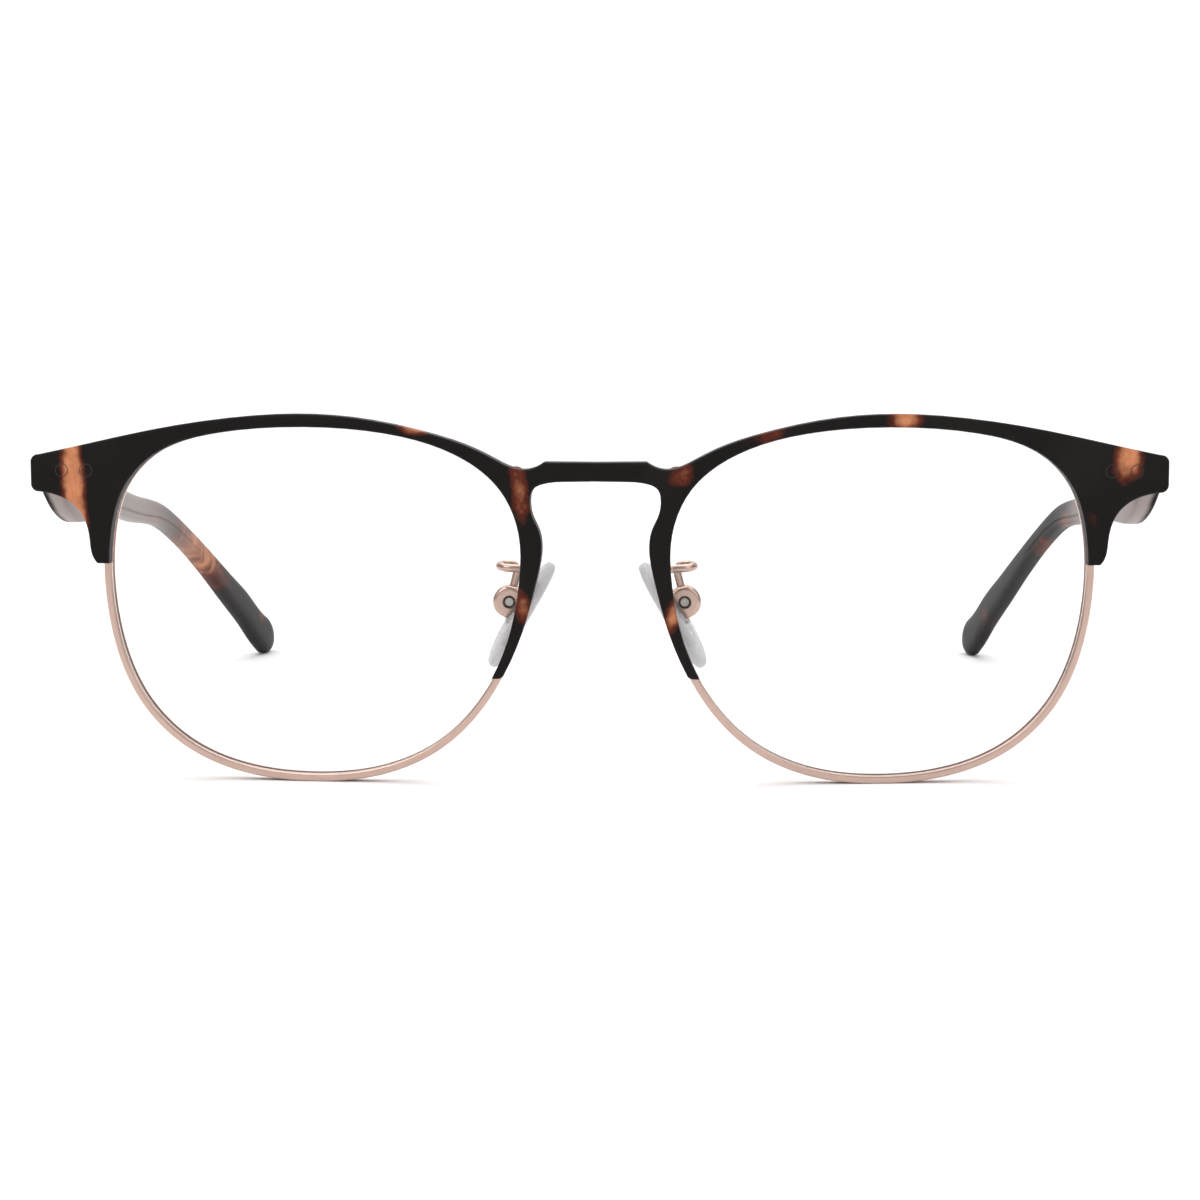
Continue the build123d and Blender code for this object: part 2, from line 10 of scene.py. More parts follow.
import bpy
import numpy as np
from bpy.props import FloatProperty, FloatVectorProperty, PointerProperty
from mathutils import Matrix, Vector


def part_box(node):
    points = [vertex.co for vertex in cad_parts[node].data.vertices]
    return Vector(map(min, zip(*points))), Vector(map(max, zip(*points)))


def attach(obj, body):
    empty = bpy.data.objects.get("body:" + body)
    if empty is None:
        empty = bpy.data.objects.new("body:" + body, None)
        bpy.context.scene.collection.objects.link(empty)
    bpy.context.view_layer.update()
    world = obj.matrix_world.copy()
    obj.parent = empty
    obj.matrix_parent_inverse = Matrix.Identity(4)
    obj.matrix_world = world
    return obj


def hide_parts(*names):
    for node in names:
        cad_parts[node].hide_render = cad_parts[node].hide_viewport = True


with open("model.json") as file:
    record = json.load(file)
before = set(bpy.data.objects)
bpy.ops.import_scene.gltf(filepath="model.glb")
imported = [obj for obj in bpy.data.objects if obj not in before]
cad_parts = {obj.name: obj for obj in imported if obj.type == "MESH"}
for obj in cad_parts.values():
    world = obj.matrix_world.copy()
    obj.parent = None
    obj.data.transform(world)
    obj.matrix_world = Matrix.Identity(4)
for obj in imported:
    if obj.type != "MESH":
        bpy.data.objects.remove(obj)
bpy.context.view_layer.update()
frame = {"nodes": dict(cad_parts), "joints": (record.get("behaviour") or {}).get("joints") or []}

bl_info = {
    "name": "Browline Spectacles",
    "version": (1, 0, 0),
    "blender": (4, 5, 0),
    "location": "3D View > Sidebar > Spectacles",
    "description": "Dresses the packed spectacles: acetate, rose gold, clear lenses, pads and temples",
    "category": "Add Mesh",
}

MM = 0.001
SIDES = (("left", 1.0), ("right", -1.0))
RIVETS = ("hinge_rivet_inner_left", "hinge_rivet_outer_left", "hinge_rivet_inner_right", "hinge_rivet_outer_right")


# ---- places read from the frame ----
def joint_place(name):
    """Where a joint's axis passes, as an array."""
    found = [joint for joint in frame["joints"] if joint["name"] == name]
    if not found:
        raise RuntimeError("the frame has no joint called " + name)
    return np.array(found[0]["pos_m"])


def span(node):
    """Lowest and highest corners of a node as arrays."""
    low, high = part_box(node)
    return np.array(low), np.array(high)


FRONT_Y = span("brow_front")[0][1]
TEMPLE_LOW, TEMPLE_HIGH = span("temple_left")
PAD_AXIS = joint_place("nose_pad_left_rock")


# ---- sizes and colours that a user would change ----
class SpectacleSizes(bpy.types.PropertyGroup):
    """Sizes of the pieces made here."""
    pad_length: FloatProperty(name="Pad length", description="Nose pad from top to bottom",
                              default=15.0 * MM, unit="LENGTH")
    pad_width: FloatProperty(name="Pad width", description="Nose pad from front to back",
                             default=6.9 * MM, unit="LENGTH")
    pad_thickness: FloatProperty(name="Pad thickness", description="Nose pad through its middle",
                                 default=2.0 * MM, unit="LENGTH")
    temple_thickness: FloatProperty(name="Temple thickness", description="Temple from inner to outer face",
                                    default=2.8 * MM, unit="LENGTH")
    temple_inward: FloatProperty(name="Temple inward curve", description="How far the tip curves in",
                                 default=5.7 * MM, unit="LENGTH")
    seam_depth: FloatProperty(name="Seam depth", description="Depth of the fine line along the inner face",
                              default=0.2 * MM, unit="LENGTH")


class SpectacleColours(bpy.types.PropertyGroup):
    """Colours of the finishes."""
    acetate_dark: FloatVectorProperty(name="Dark acetate", description="Ground colour of the tortoise",
                                      subtype="COLOR", size=4, default=(0.0072, 0.0055, 0.0054, 1.0))
    acetate_red: FloatVectorProperty(name="Red acetate", description="Rim of each tortoise patch",
                                     subtype="COLOR", size=4, default=(0.085, 0.016, 0.008, 1.0))
    acetate_amber: FloatVectorProperty(name="Amber acetate", description="Middle of each tortoise patch",
                                       subtype="COLOR", size=4, default=(0.60, 0.235, 0.112, 1.0))
    rose_gold: FloatVectorProperty(name="Rose gold", description="Plating of rims, arms and hinges",
                                   subtype="COLOR", size=4, default=(0.575, 0.41, 0.35, 1.0))
    # painted reflection: pale grey laid on the inner face of each temple's front, standing in for the lens's
    # reflection over it
    painted_lens_haze: FloatVectorProperty(name="Painted lens haze", description="Pale grey painted inside the front of a temple for the lens reflection",
                                       subtype="COLOR", size=4, default=(0.33, 0.285, 0.275, 1.0))
    steel: FloatVectorProperty(name="Steel", description="Screws and core strips",
                               subtype="COLOR", size=4, default=(0.42, 0.40, 0.38, 1.0))
    silicone: FloatVectorProperty(name="Silicone", description="Nose pads",
                                  subtype="COLOR", size=4, default=(0.61, 0.60, 0.615, 1.0))
    floor: FloatVectorProperty(name="Floor", description="Plain floor and backdrop",
                               subtype="COLOR", size=4, default=(0.92, 0.92, 0.92, 1.0))


def sizes():
    """The sizes held by the scene."""
    return bpy.context.scene.spectacle_sizes


def colours():
    """The colours held by the scene."""
    return bpy.context.scene.spectacle_colours


# ---- shader maths ----
class Value:
    """A socket that takes part in Python expressions, each of which adds its Math node."""

    def __init__(self, shade, socket):
        self.shade = shade
        self.socket = socket

    def _math(self, operation, *values):
        """The result of a Math node on these values."""
        node = self.shade.node("ShaderNodeMath", {"operation": operation}, dict(enumerate(values)))
        return Value(self.shade, node.outputs[0])

    def __add__(self, other):
        return self._math("ADD", self, other)

    def __sub__(self, other):
        return self._math("SUBTRACT", self, other)

    def __rsub__(self, other):
        return self._math("SUBTRACT", other, self)

    def __mul__(self, other):
        return self._math("MULTIPLY", self, other)

    def __truediv__(self, other):
        return self._math("DIVIDE", self, other)

    def __pow__(self, other):
        return self._math("POWER", self, other)

    __radd__ = __add__
    __rmul__ = __mul__

    def size(self):
        """Its value without sign."""
        return self._math("ABSOLUTE", self)

    def larger(self, other):
        """The larger of the two."""
        return self._math("MAXIMUM", self, other)

    def ramp(self, low, high):
        """0 below low, 1 above high, smooth between; high may be the smaller one."""
        node = self.shade.node("ShaderNodeMapRange", {"interpolation_type": "SMOOTHSTEP"},
                               {"Value": self, "From Min": low, "From Max": high, "To Min": 0.0, "To Max": 1.0})
        return Value(self.shade, node.outputs[0])


class Shade:
    """Builds one material's nodes."""

    def __init__(self, name):
        self.material = bpy.data.materials.new(name)
        self.material.use_nodes = True
        self.tree = self.material.node_tree
        self.tree.nodes.clear()
        self.output = self.node("ShaderNodeOutputMaterial")

    def node(self, kind, settings=None, inputs=None):
        """A node of this type, with its settings and then the values or links of its sockets."""
        made = self.tree.nodes.new(kind)
        for name, value in (settings or {}).items():
            setattr(made, name, value)
        for name, value in (inputs or {}).items():
            socket = made.inputs[name]
            if isinstance(value, Value):
                value = value.socket
            if isinstance(value, bpy.types.NodeSocket):
                self.tree.links.new(value, socket)
            else:
                socket.default_value = value
        return made

    def place(self):
        """Object coordinates."""
        return self.node("ShaderNodeTexCoord").outputs["Object"]

    def axes(self):
        """Object coordinates as three values, in millimetres."""
        parts = self.node("ShaderNodeSeparateXYZ", inputs={0: self.place()})
        return [Value(self, socket) * (1 / MM) for socket in parts.outputs]

    def noise(self, scale, detail=2.0, roughness=0.5):
        """Noise from 0 to 1; scale is in waves to the metre."""
        inputs = {"Vector": self.place(), "Scale": scale, "Detail": detail, "Roughness": roughness}
        return Value(self, self.node("ShaderNodeTexNoise", inputs=inputs).outputs[0])

    def mix(self, factor, first, second):
        """Colour that goes from first to second as factor goes from 0 to 1."""
        made = self.node("ShaderNodeMix", {"data_type": "RGBA"})
        for index, value in ((0, factor), (6, first), (7, second)):
            if isinstance(value, Value):
                value = value.socket
            if isinstance(value, bpy.types.NodeSocket):
                self.tree.links.new(value, made.inputs[index])
            else:
                made.inputs[index].default_value = value
        return made.outputs[2]

    def bump(self, height, strength, distance):
        """Normal from a height."""
        made = self.node("ShaderNodeBump", inputs={"Height": height, "Strength": strength, "Distance": distance})
        return made.outputs[0]

    def surface(self, **inputs):
        """A Principled shader with these sockets, given with _ for spaces, wired to the output."""
        named = {name.replace("_", " "): value for name, value in inputs.items()}
        self.finish(self.node("ShaderNodeBsdfPrincipled", inputs=named).outputs[0])

    def finish(self, socket):
        """Wire a shader to the output."""
        self.tree.links.new(socket, self.output.inputs["Surface"])


def patch(across, along, wobble, middle, radii, turn, strength):
    """How deep inside an oval patch a point is: strength in its middle, strength - 1 on the oval, less outside."""
    cosine, sine = math.cos(math.radians(turn)), math.sin(math.radians(turn))
    u = across - middle[0]
    v = along - middle[1]
    first = (u * cosine + v * sine) / radii[0]
    second = (v * cosine - u * sine) / radii[1]
    return strength - (first * first + second * second + wobble)


# middle and radii in millimetres, turn in degrees and strength of each amber patch, across and up
BROW_PATCHES = (
    ((-64.35, 36.0), (1.65, 9.5), 4.0, 0.97),
    ((64.9, 39.7), (2.4, 3.9), -8.0, 0.62),
    ((37.2, 45.0), (3.0, 2.2), 0.0, 0.50),
    ((-9.2, 36.2), (1.75, 5.4), 6.0, 0.36),
    ((10.4, 38.2), (2.8, 2.2), 30.0, 0.30),
    ((-8.8, 22.0), (1.7, 4.2), 20.0, 0.28),
    ((9.5, 20.9), (1.5, 3.4), -20.0, 0.40),
    ((60.6, 33.0), (2.0, 3.0), 0.0, -0.08),
    ((-21.8, 43.8), (2.8, 1.2), -8.0, 0.50),
    ((20.5, 42.7), (5.0, 1.5), 20.0, 0.14),
)
# the same along and up for the temples, wearer's left and right
TEMPLE_PATCHES = {
    "left": (((-8.0, 29.0), (14.0, 2.4), -14.0, 0.16), ((14.0, 23.0), (11.0, 2.0), -22.0, 0.14),
             ((52.0, 8.5), (5.0, 4.0), -20.0, 0.08), ((-40.0, 35.0), (9.0, 5.0), -10.0, 0.55)),
    "right": (((22.0, 21.8), (22.0, 4.2), -21.0, 0.56), ((-7.0, 29.0), (9.0, 3.4), -12.0, 0.34),
              ((60.5, 7.4), (2.8, 2.4), 0.0, 0.30), ((-44.0, 35.0), (8.0, 5.0), -10.0, 0.60)),
}
HAZE_START = -22.0         # depth where the painted lens haze starts to fade, millimetres
HAZE_ENDS = {"left": 2.0, "right": 34.0}      # depth where it has faded out, millimetres
HAZE_FACE = (69.5, 68.6)   # across, from the outer side of the painted lens haze to where it is full, millimetres
RECESS_EDGE = 0.82          # radius of the painted shade in the recess round the end of a pad screw, millimetres
RECESS_BLUR = (0.04, 0.05)  # how far the edge of the painted shade spreads out and in, millimetres
RIVET_RING = 0.80           # middle of the painted ring of highlight and shade round a rivet, millimetres
RING_BLUR = (0.14, 0.12)    # how far the painted ring spreads in and out, millimetres
RED_EDGE = (-0.25, 0.22)    # depths in a patch between which dark turns red
AMBER_EDGE = (0.12, 0.75)   # depths in a patch between which red turns amber


def acetate(name, patches, roughness, level, haze_end=None):
    """Tortoise acetate: dark ground with red-edged amber patches, which run through its whole thickness. A temple
    also has a pale grey painted on its inner face, standing in for the lens's reflection over it, which fades out
    at haze_end; the brow has painted rings round its rivets, standing in for the highlight and shade on their
    edges."""
    shade = Shade(name)
    tint = colours()
    x, y, z = shade.axes()
    temple = haze_end is not None
    first = y if temple else x
    broad, fine = shade.noise(260.0, 4.0, 0.6), shade.noise(1100.0, 2.0)
    wobble = (broad - 0.5) * 1.3 + (fine - 0.5) * 0.35
    inside = None
    for middle, radii, turn, strength in patches:
        found = patch(first, z, wobble, middle, radii, turn, strength)
        inside = found if inside is None else inside.larger(found)
    ground = shade.mix(shade.noise(110.0, 3.0).ramp(0.45, 0.8) * 0.7, tint.acetate_dark[:],
                       scaled(tint.acetate_dark, 1.9))
    stained = shade.mix(inside.ramp(*RED_EDGE), ground, tint.acetate_red[:])
    streaks = shade.noise(420.0, 4.0, 0.6).ramp(0.3, 0.75)
    amber = shade.mix(streaks * 0.7, tint.acetate_amber[:], scaled(tint.acetate_amber, 0.5))
    colour = shade.mix(inside.ramp(*AMBER_EDGE), stained, amber)
    if temple:
        # painted reflection: pale grey over the inner face of the temple's front, standing in for the lens's
        # reflection over it; how far back it reaches differs by side
        inner = (x.size() + (shade.noise(300.0, 2.0) - 0.5) * 0.5).ramp(*HAZE_FACE)
        front = (y + (shade.noise(90.0, 3.0) - 0.5) * 14.0).ramp(haze_end, HAZE_START)
        colour = shade.mix(inner * front, colour, tint.painted_lens_haze[:])
    else:
        # painted highlight and shade: each rivet head gets a ring of one fixed colour, lighter than the dark ground
        # and darker than the amber, in place of the light and shade on its edge
        for node in RIVETS:
            across, up = rivet_place(node)
            away = distance(x - across, z - up)
            painted_rivet_edge = (away.ramp(RIVET_RING - RING_BLUR[0], RIVET_RING)
                    * away.ramp(RIVET_RING + RING_BLUR[1], RIVET_RING))
            colour = shade.mix(painted_rivet_edge * 0.75, colour, scaled(tint.acetate_dark, 7.0))
    grain = shade.noise(5200.0, 2.0)
    shade.surface(Base_Color=colour, Roughness=grain * 0.10 + (roughness - 0.05), IOR=1.49,
                  Specular_IOR_Level=level, Normal=shade.bump(grain, 0.10, 0.00002))
    return shade.material


def distance(across, up):
    """How far apart two values lie: the root of the sum of their squares."""
    return (across ** 2.0 + up ** 2.0) ** 0.5


def rivet_place(node):
    """Middle of a rivet across and up, in millimetres."""
    low, high = span(node)
    middle = (low + high) / 2 / MM
    return float(middle[0]), float(middle[2])


def scaled(colour, factor):
    """The colour times factor."""
    return tuple(factor * c for c in colour[:3]) + (1.0,)


def rose_gold(name, recess=None):
    """Satin rose-gold plating, with painted shade in a round recess when its middle, across and up in millimetres,
    is given.
    """
    shade = Shade(name)
    tint = colours().rose_gold[:]
    cloud = shade.noise(350.0, 3.0)
    colour = shade.mix(cloud.ramp(0.35, 0.7) * 0.35, tint, scaled(tint, 0.86))
    if recess:
        x, _, z = shade.axes()
        # painted shade: the recess round the screw end is coloured almost black in place of the shade that falls in
        # it
        recess_shade = distance(x - recess[0], z - recess[1]).ramp(RECESS_EDGE + RECESS_BLUR[0],
                                                             RECESS_EDGE - RECESS_BLUR[1])
        colour = shade.mix(recess_shade, colour, scaled(tint, 0.10))
    grain = shade.noise(7000.0, 2.0)
    shade.surface(Base_Color=colour, Metallic=1.0, Roughness=grain * 0.12 + 0.24,
                  Normal=shade.bump(grain, 0.08, 0.00001))
    return shade.material


def steel(name):
    """Plain turned steel."""
    shade = Shade(name)
    tint = colours().steel[:]
    cloud = shade.noise(900.0, 3.0)
    colour = shade.mix(cloud.ramp(0.3, 0.7) * 0.4, tint, scaled(tint, 0.7))
    shade.surface(Base_Color=colour, Metallic=1.0, Roughness=cloud * 0.2 + 0.22)
    return shade.material


def clear_lens():
    """A clear lens: light passes straight through, with a faint gloss that grows towards the edge of view."""
    shade = Shade("clear_lens")
    clear = shade.node("ShaderNodeBsdfTransparent", inputs={"Color": (0.985, 0.988, 0.985, 1.0)})
    gloss = shade.node("ShaderNodeBsdfGlossy", inputs={"Color": (1.0, 1.0, 1.0, 1.0), "Roughness": 0.02})
    edge = Value(shade, shade.node("ShaderNodeFresnel", inputs={"IOR": 1.25}).outputs[0])
    smear = shade.noise(60.0, 2.0).ramp(0.2, 0.9) * 0.1 + 0.45
    mixed = shade.node("ShaderNodeMixShader", inputs={0: edge * smear, 1: clear.outputs[0], 2: gloss.outputs[0]})
    shade.finish(mixed.outputs[0])
    return shade.material


def silicone():
    """Clear silicone, cloudy where it is thick and glossy on its skin."""
    shade = Shade("clear_silicone")
    tint = colours().silicone[:]
    cloud = shade.noise(500.0, 3.0)
    colour = shade.mix(cloud.ramp(0.3, 0.8) * 0.3, tint, scaled(tint, 0.92))
    grain = shade.noise(2500.0, 2.0)
    body = shade.node("ShaderNodeBsdfPrincipled", inputs={
        "Base Color": colour, "Roughness": cloud * 0.1 + 0.22, "IOR": 1.41,
        "Specular IOR Level": 0.35, "Normal": shade.bump(grain, 0.03, 0.00001)})
    clear = shade.node("ShaderNodeBsdfTransparent", inputs={"Color": (0.97, 0.97, 0.97, 1.0)})
    rim = Value(shade, shade.node("ShaderNodeLayerWeight", inputs={"Blend": 0.35}).outputs["Facing"])
    mixed = shade.node("ShaderNodeMixShader", inputs={0: rim * 0.3 + 0.62, 1: clear.outputs[0], 2: body.outputs[0]})
    shade.finish(mixed.outputs[0])
    return shade.material


# ---- surfaces ----
def closed_grid(rings, first_pole, last_pole):
    """Vertices and faces of a tube of equal rings, closed at both ends by a pole.
    rings is (n, m, 3); faces point outwards when each ring turns right-handed about the way from first to last."""
    n, m, _ = rings.shape
    points = np.concatenate([rings.reshape(-1, 3), [first_pole], [last_pole]])
    i, j = np.meshgrid(np.arange(n - 1), np.arange(m), indexing="ij")
    k = (j + 1) % m
    quads = np.stack([i * m + j, i * m + k, (i + 1) * m + k, (i + 1) * m + j], axis=-1).reshape(-1, 4)
    around = np.arange(m)
    after = (around + 1) % m
    start = np.stack([np.full(m, n * m), after, around], axis=-1)
    end = np.stack([np.full(m, n * m + 1), (n - 1) * m + around, (n - 1) * m + after], axis=-1)
    return points, quads, np.concatenate([start, end])


def make_mesh(name, points, quads, triangles):
    """A smooth-shaded object from arrays, linked to the scene."""
    mesh = bpy.data.meshes.new(name)
    mesh.from_pydata(points.tolist(), [], quads.tolist() + triangles.tolist())
    mesh.shade_smooth()
    mesh.update()
    piece = bpy.data.objects.new(name, mesh)
    bpy.context.scene.collection.objects.link(piece)
    return piece


def dress(node, material):
    """Give a carried-over node its finish."""
    data = frame["nodes"][node].data
    data.materials.clear()
    data.materials.append(material)


def ease(x, low, high):
    """0 below low, 1 above high and smooth between, for arrays."""
    t = np.clip((x - low) / (high - low), 0, 1)
    return t * t * (3 - 2 * t)


def smooth_table(table, x):
    """Cubic through a table of (x, value): Hermite spans whose slopes are the mean of their neighbours' slopes."""
    xs, ys = np.array(table, dtype=float).T
    slopes = np.gradient(ys, xs)
    i = np.clip(np.searchsorted(xs, x) - 1, 0, len(xs) - 2)
    h = xs[i + 1] - xs[i]
    t = (x - xs[i]) / h
    return ((1 + 2 * t) * (1 - t) ** 2 * ys[i] + t * (1 - t) ** 2 * h * slopes[i]
            + t * t * (3 - 2 * t) * ys[i + 1] + t * t * (t - 1) * h * slopes[i + 1])


# share of the temple's length, its centre's height and its own height, millimetres
TEMPLE_LINE = (
    (0.0, 38.05, 4.5), (0.028, 36.53, 6.4), (0.07, 35.08, 7.6), (0.122, 34.25, 7.0), (0.175, 33.6, 5.7),
    (0.235, 32.8, 4.5), (0.34, 30.86, 4.0), (0.48, 28.46, 3.55), (0.583, 24.39, 3.5), (0.68, 19.6, 4.1),
    (0.783, 13.9, 5.25), (0.862, 9.45, 6.15), (0.93, 5.0, 6.7), (0.955, 3.62, 6.8),
)
TIP_START = 0.955           # share of the length where the round tip starts
TIP_DROP = 1.35 * MM        # how far the centre line falls from there to the end
TIP_LAST = 0.08             # angle left to the pole that closes the tip, radians
TIP_POWERS = (1.15, 0.55)   # powers of the quarter circle for the tip's half height and half width
TEMPLE_BEND = 50.0 * MM     # from the front of the temple to where it starts to curve in
INWARD_POWER = 1.5          # of the way past the bend
RECESS = 0.4 * MM           # the butt is this much thinner where the hinge plate passes
RECESS_START, RECESS_END = 0.4 * MM, 0.8 * MM
ROUND_IN = 0.35 * MM        # radius of the butt's edge
BUTT_POWER, TIP_POWER = 5.0, 2.8       # exponents of the superellipse at the butt and at the tip
POWER_SHARES = (0.1, 0.34)  # shares of the length between which it changes
SEAM_SHARES = ((0.17, 0.2), (0.6, 0.64))       # shares where the groove starts and ends
SEAM_PLACE = 0.4            # below the centre line, in half heights
SEAM_WIDTH = 0.13 * MM
RIGHTMOST = 70.0 * MM       # outer face of the straight part of the left temple


def temple_surface(side):
    """Temple as a tube of upright sections, each a superellipse |x/a|^n + |z/b|^n = 1. Its centre height and
    its height follow TEMPLE_LINE; its outer face runs straight and then curves in with a power of the way past
    the bend. n falls from 5 to 2.8 behind the hinge. Past TIP_START, height and width close with powers of the
    cosine of an angle whose sine is the way to the end. The inner face has a fine groove, a Gaussian of its
    height."""
    size = sizes()
    start, end = TEMPLE_LOW[1], TEMPLE_HIGH[1]
    length = end - start
    angle = np.linspace(0, 0.5 * math.pi - TIP_LAST, 22)
    share = np.concatenate([
        ROUND_IN / length * (1 - np.cos(np.linspace(0.35, math.pi / 2, 7))),
        np.linspace(0.0035, 0.06, 28), np.linspace(0.066, TIP_START - 0.004, 150),
        TIP_START + (1 - TIP_START) * np.sin(angle)])
    closing = np.concatenate([np.ones(len(share) - len(angle)), np.cos(angle)])
    held = np.minimum(share, TIP_START)
    beyond = (share - held) / (1 - TIP_START)
    centre = smooth_table([(row[0], row[1]) for row in TEMPLE_LINE], held) * MM - TIP_DROP * beyond
    height = smooth_table([(row[0], row[2]) for row in TEMPLE_LINE], held) * MM
    opening = np.clip(share * length / ROUND_IN, 0, 1)
    edge = ROUND_IN * (1 - np.sqrt(1 - (1 - opening) ** 2))
    thickness = size.temple_thickness - RECESS * (1 - ease(share * length, RECESS_START, RECESS_END))
    half_height = (height / 2 - edge) * closing ** TIP_POWERS[0]
    half_width = (thickness / 2 - edge) * closing ** TIP_POWERS[1]
    y = start + share * length
    past = np.clip(y - start - TEMPLE_BEND, 0, None) / (length - TEMPLE_BEND)
    middle = RIGHTMOST - size.temple_inward * past ** INWARD_POWER - thickness / 2
    power = BUTT_POWER - (BUTT_POWER - TIP_POWER) * ease(share, *POWER_SHARES)
    around = np.linspace(0, 2 * math.pi, 72, endpoint=False)
    around = np.unique(np.concatenate([around, math.pi + np.linspace(0.02, 0.5, 48)]))
    cosine, sine = np.cos(around)[None, :], np.sin(around)[None, :]
    n = power[:, None]
    x = middle[:, None] + half_width[:, None] * np.sign(cosine) * np.abs(cosine) ** (2 / n)
    z = centre[:, None] + half_height[:, None] * np.sign(sine) * np.abs(sine) ** (2 / n)
    in_seam = ease(share, *SEAM_SHARES[0]) * (1 - ease(share, *SEAM_SHARES[1]))
    offset = (z - (centre - SEAM_PLACE * half_height)[:, None]) / SEAM_WIDTH
    x = x + np.where(cosine < 0, size.seam_depth * in_seam[:, None] * np.exp(-offset ** 2), 0)
    rings = np.stack([side * x, np.repeat(y[:, None], len(around), 1), z], axis=-1)
    first = np.array([side * middle[0], start, centre[0]])
    last = np.array([side * middle[-1], end, centre[-1]])
    points, quads, triangles = closed_grid(rings, first, last)
    if side > 0:
        quads, triangles = quads[:, ::-1], triangles[:, ::-1]
    return points, quads, triangles


PAD_TILT = 31.0             # degrees that the pad leans in at its top
PAD_SPLAY = 10.0            # degrees that its back edge turns out
PAD_OFFSET = 1.95 * MM      # from the screw to the pad's middle, through the pad
PAD_SHIFT = 0.7 * MM        # the same along the pad, downwards
PAD_FACE_END = 0.88         # share of the radius where the face turns into the round edge
PAD_POWERS = (0.88, 0.80)   # powers of cosine and sine in the outline
PAD_DROP = 0.09             # share by which the outline is wider below and narrower above
PAD_DOME = 0.12             # share of the thickness lost from the middle to the edge
PAD_BOW = 0.2 * MM          # how far the pad's two ends bend away from the box
POCKET_ALONG = ((-1.8 * MM, -1.6 * MM), (3.0 * MM, 3.2 * MM))          # its two slopes along the pad
POCKET_ACROSS = ((-1.75 * MM, -1.5 * MM), (2.05 * MM, 2.3 * MM))       # and across it
POCKET_FLOOR = 0.65 * MM    # from the pad's middle to its floor, towards the box


def pad_axes():
    """Directions of the left pad: through it towards the lens, across into the depth, and up along it; and the
    first two turned by the splay."""
    tilt, splay = math.radians(PAD_TILT), math.radians(PAD_SPLAY)
    through = np.array([math.cos(tilt), 0, math.sin(tilt)])
    up = np.array([-math.sin(tilt), 0, math.cos(tilt)])
    deep = np.array([0.0, 1.0, 0.0])
    return (through, up, through * math.cos(splay) - deep * math.sin(splay),
            deep * math.cos(splay) + through * math.sin(splay))


def pad_surface(side):
    """Nose pad: a flattened drop in rings from the middle of one face to the middle of the other. A ring's
    outline is r times powers of cosine and sine, a little wider below its middle. From ring to ring
    r^4 + t^4 = 1 gives flat faces with a round edge, and both faces bow with the square of the way along. The
    lens side is pressed in to clear the box that holds the pad."""
    size = sizes()
    through, up, turned_through, turned_deep = pad_axes()
    middle = PAD_AXIS - PAD_OFFSET * through - PAD_SHIFT * up
    face = np.linspace(0.04, PAD_FACE_END, 44)
    rim = np.linspace(1, -1, 18)[1:-1] * (1 - PAD_FACE_END ** 4) ** 0.25
    r = np.concatenate([face, (1 - rim ** 4) ** 0.25, face[::-1]])[:, None]
    t = np.concatenate([(1 - face ** 4) ** 0.25, rim, -(1 - face[::-1] ** 4) ** 0.25])[:, None]
    lon = np.linspace(0, 2 * math.pi, 120, endpoint=False)[None, :]
    cosine, sine = np.cos(lon), np.sin(lon)
    long = np.sign(cosine) * np.abs(cosine) ** PAD_POWERS[0]
    wide = np.sign(sine) * np.abs(sine) ** PAD_POWERS[1] * (1 - PAD_DROP * cosine)
    v = 0.5 * size.pad_length * r * long
    w = 0.5 * size.pad_width * r * wide
    bow = -PAD_BOW * (v / (0.5 * size.pad_length)) ** 2
    u = 0.5 * size.pad_thickness * t * (1 - PAD_DOME * r ** 2) + bow
    pocket = (ease(v, *POCKET_ALONG[0]) * (1 - ease(v, *POCKET_ALONG[1]))
              * ease(w, *POCKET_ACROSS[0]) * (1 - ease(w, *POCKET_ACROSS[1])))
    floor = POCKET_FLOOR - w * math.sin(math.radians(PAD_SPLAY))
    u = np.where(t > 0, u + pocket * (np.minimum(u, floor) - u), u)
    mirror = np.array([side, 1, 1])
    rings = (middle + u[..., None] * turned_through + w[..., None] * turned_deep + v[..., None] * up) * mirror
    ends = [(middle + depth * turned_through) * mirror for depth in (POCKET_FLOOR, -0.5 * size.pad_thickness)]
    points, quads, triangles = closed_grid(rings, ends[0], ends[1])
    if side < 0:
        quads, triangles = quads[:, ::-1], triangles[:, ::-1]
    return points, quads, triangles


# ---- operators ----
class BrowOperator(bpy.types.Operator):
    """Give the brow and its rivets their matte tortoise"""
    bl_idname = "spectacles.brow"
    bl_label = "Brow"

    def execute(self, context):
        matte = acetate("matte_tortoise", BROW_PATCHES, roughness=0.46, level=0.10)
        dress("brow_front", matte)
        for node in RIVETS:
            dress(node, matte)
        return {"FINISHED"}


class MetalOperator(bpy.types.Operator):
    """Plate the rims, pad arms, pad boxes and hinges, and finish the screws and core strips"""
    bl_idname = "spectacles.metal"
    bl_label = "Metal parts"

    def execute(self, context):
        gold = rose_gold("rose_gold_plating")
        plain = steel("plain_steel")
        for side, sign in SIDES:
            for node in ("rim", "pad_arm", "hinge_front", "hinge_temple"):
                dress(node + "_" + side, gold)
            screw = (sign * PAD_AXIS[0] / MM, PAD_AXIS[2] / MM)
            # each pad box has painted shade in the recess round its screw end
            dress("pad_box_" + side, rose_gold("pad_box_plating_with_recess_shade_" + side, screw))
            for node in ("rim_lock_screw", "brow_screw_inner", "brow_screw_outer", "pad_screw", "hinge_screw",
                         "temple_core"):
                dress(node + "_" + side, plain)
        return {"FINISHED"}


